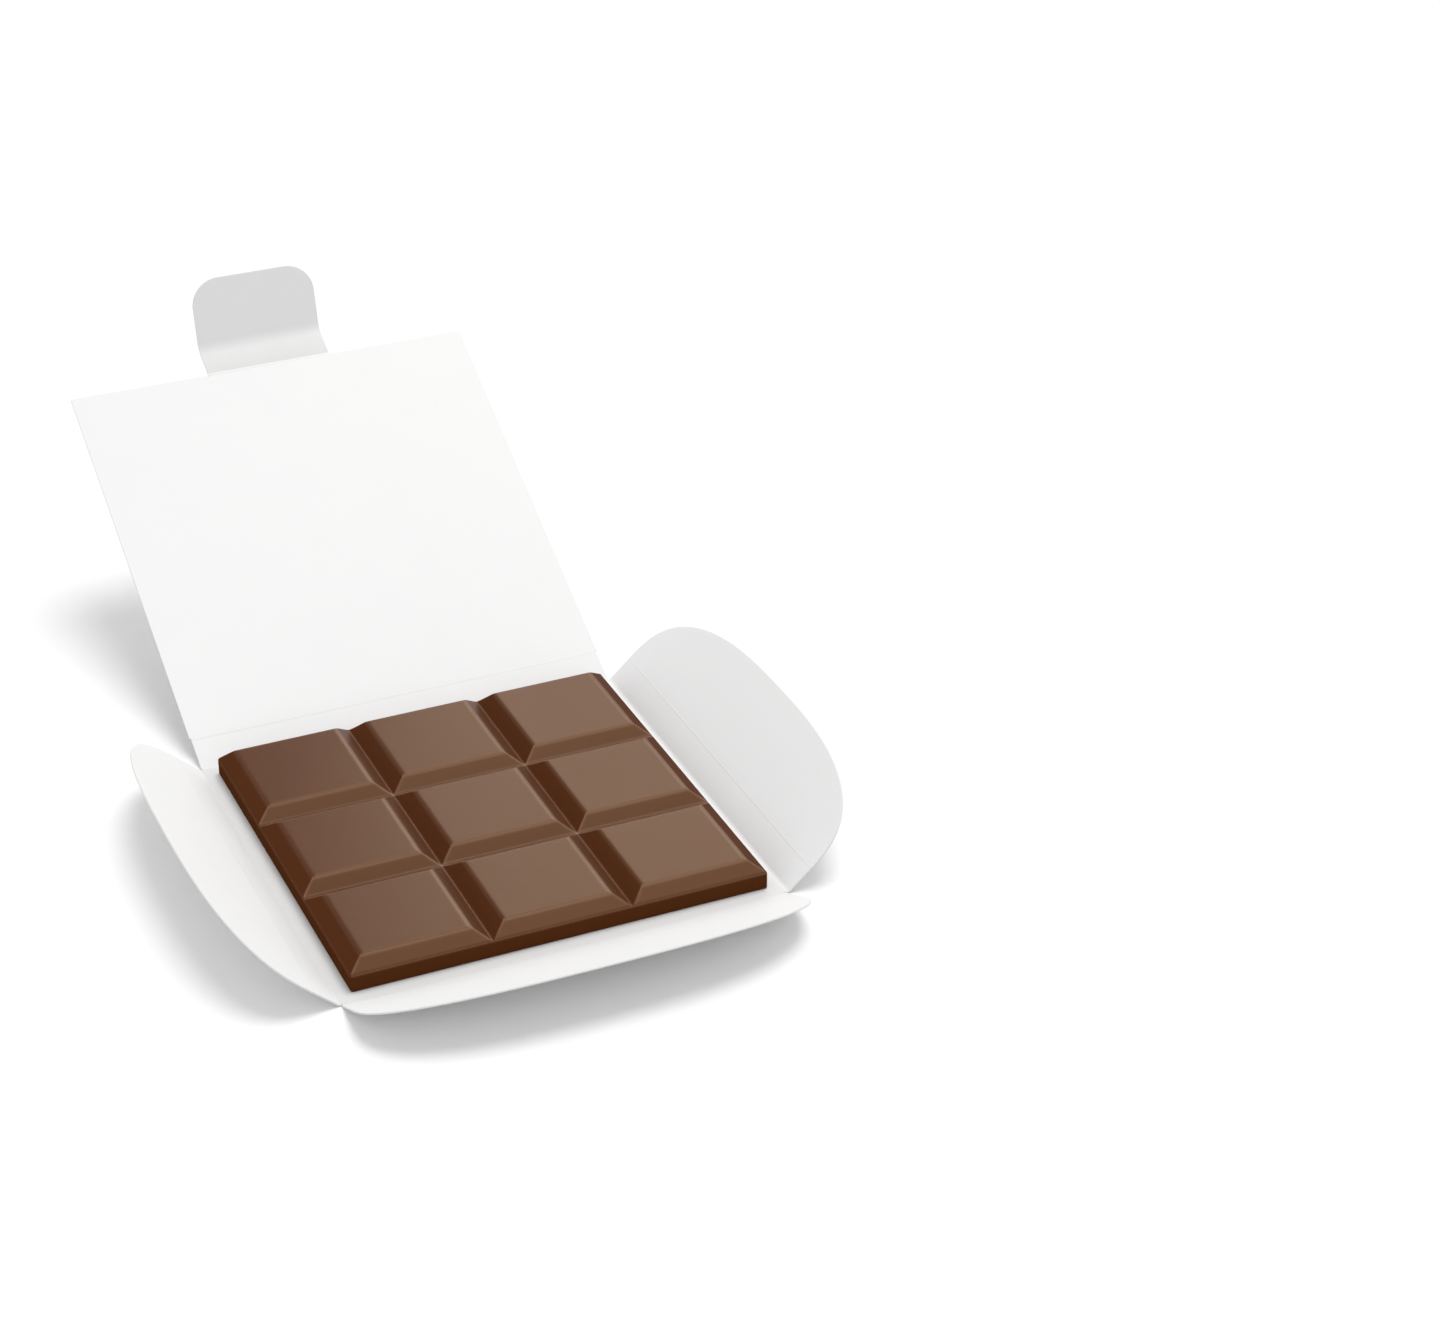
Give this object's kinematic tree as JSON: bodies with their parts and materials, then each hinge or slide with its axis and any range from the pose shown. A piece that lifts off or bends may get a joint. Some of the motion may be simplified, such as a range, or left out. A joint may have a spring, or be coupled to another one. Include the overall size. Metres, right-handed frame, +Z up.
{
  "type": "chocolate bar gift box",
  "caption": "Flat square folding board box, shown open with rounded side flaps, a hinged lid with a tuck tab, and a moulded chocolate bar on its base.",
  "frame": {"origin": "centre of the base panel's underside, on the table", "axes": "+Z up; -Y towards the front flap; the lid is hinged at +Y; +X to the right"},
  "size_m": [0.1424, 0.2324, 0.0717],
  "materials": {
    "board": "matte",
    "chocolate": "satin"
  },
  "bodies": {
    "base": {"base_panel": "board"},
    "left_wall": {"left_wall": "board"},
    "left_flap": {"left_flap": "board"},
    "right_wall": {"right_wall": "board"},
    "right_flap": {"right_flap": "board"},
    "front_wall": {"front_wall": "board"},
    "front_flap": {"front_flap": "board"},
    "back_wall": {"back_wall": "board"},
    "lid": {"lid_panel": "board"},
    "tab_riser": {"tab_riser": "board"},
    "tuck_tongue": {"tuck_tongue": "board"},
    "bar": {"chocolate_bar": "chocolate"}
  },
  "joints": [
    {"name": "left_wall_crease", "type": "hinge", "parent": "base", "child": "left_wall", "pos_m": [-0.05, 0, 0.0002], "axis": [0, 1, 0], "range_deg": [-42, 48]},
    {"name": "left_flap_crease", "type": "hinge", "parent": "left_wall", "child": "left_flap", "pos_m": [-0.05513, 0, 0.00482], "axis": [0, 1, 0], "range_deg": [0, 90]},
    {"name": "right_wall_crease", "type": "hinge", "parent": "base", "child": "right_wall", "pos_m": [0.05, 0, 0.0002], "axis": [0, -1, 0], "range_deg": [-42, 48]},
    {"name": "right_flap_crease", "type": "hinge", "parent": "right_wall", "child": "right_flap", "pos_m": [0.05513, 0, 0.00482], "axis": [0, -1, 0], "range_deg": [0, 90]},
    {"name": "front_wall_crease", "type": "hinge", "parent": "base", "child": "front_wall", "pos_m": [0, -0.05, 0.0002], "axis": [-1, 0, 0], "range_deg": [-26.5, 63.5]},
    {"name": "front_flap_crease", "type": "hinge", "parent": "front_wall", "child": "front_flap", "pos_m": [0, -0.05662, 0.0035], "axis": [-1, 0, 0], "range_deg": [0, 90]},
    {"name": "back_wall_crease", "type": "hinge", "parent": "base", "child": "back_wall", "pos_m": [0, 0.05, 0.0002], "axis": [1, 0, 0], "range_deg": [-28, 62]},
    {"name": "lid_crease", "type": "hinge", "parent": "back_wall", "child": "lid", "pos_m": [0, 0.05698, 0.00391], "axis": [1, 0, 0], "range_deg": [0, 90]},
    {"name": "tab_riser_crease", "type": "hinge", "parent": "lid", "child": "tab_riser", "pos_m": [0, 0.14571, 0.05109], "axis": [1, 0, 0], "range_deg": [0, 90]},
    {"name": "tongue_crease", "type": "hinge", "parent": "tab_riser", "child": "tuck_tongue", "pos_m": [0, 0.15313, 0.05503], "axis": [1, 0, 0], "range_deg": [-50, 40]},
    {"name": "bar_lift", "type": "slide", "parent": "base", "child": "bar", "axis": [0, 0, -1], "range_m": [-0.04, 0]}
  ]
}
